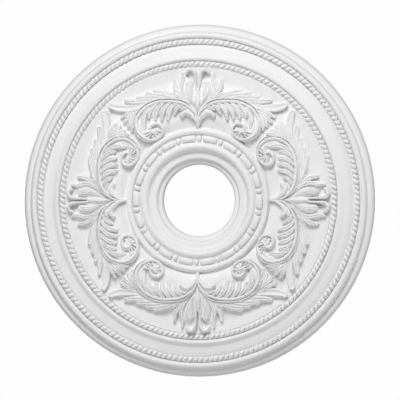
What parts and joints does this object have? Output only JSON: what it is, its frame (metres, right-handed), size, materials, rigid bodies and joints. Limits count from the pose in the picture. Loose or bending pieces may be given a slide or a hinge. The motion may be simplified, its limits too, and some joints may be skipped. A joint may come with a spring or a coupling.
{
  "type": "ceiling rose",
  "caption": "Round moulded ceiling rose with a central hole, rope and bead rings, and acanthus sprays with scrolls round the middle.",
  "frame": {"origin": "centre of the hole on the flat back, where the rose meets the ceiling", "axes": "+Y out of the back into the ceiling, -Y out of the ornament, +Z towards the top of the picture; on a ceiling +Y points up"},
  "size_m": [0.61, 0.0444, 0.61],
  "materials": {
    "primed_polyurethane": "matt white primer"
  },
  "bodies": {
    "root": {"ceiling_rose": "primed_polyurethane"}
  },
  "joints": []
}
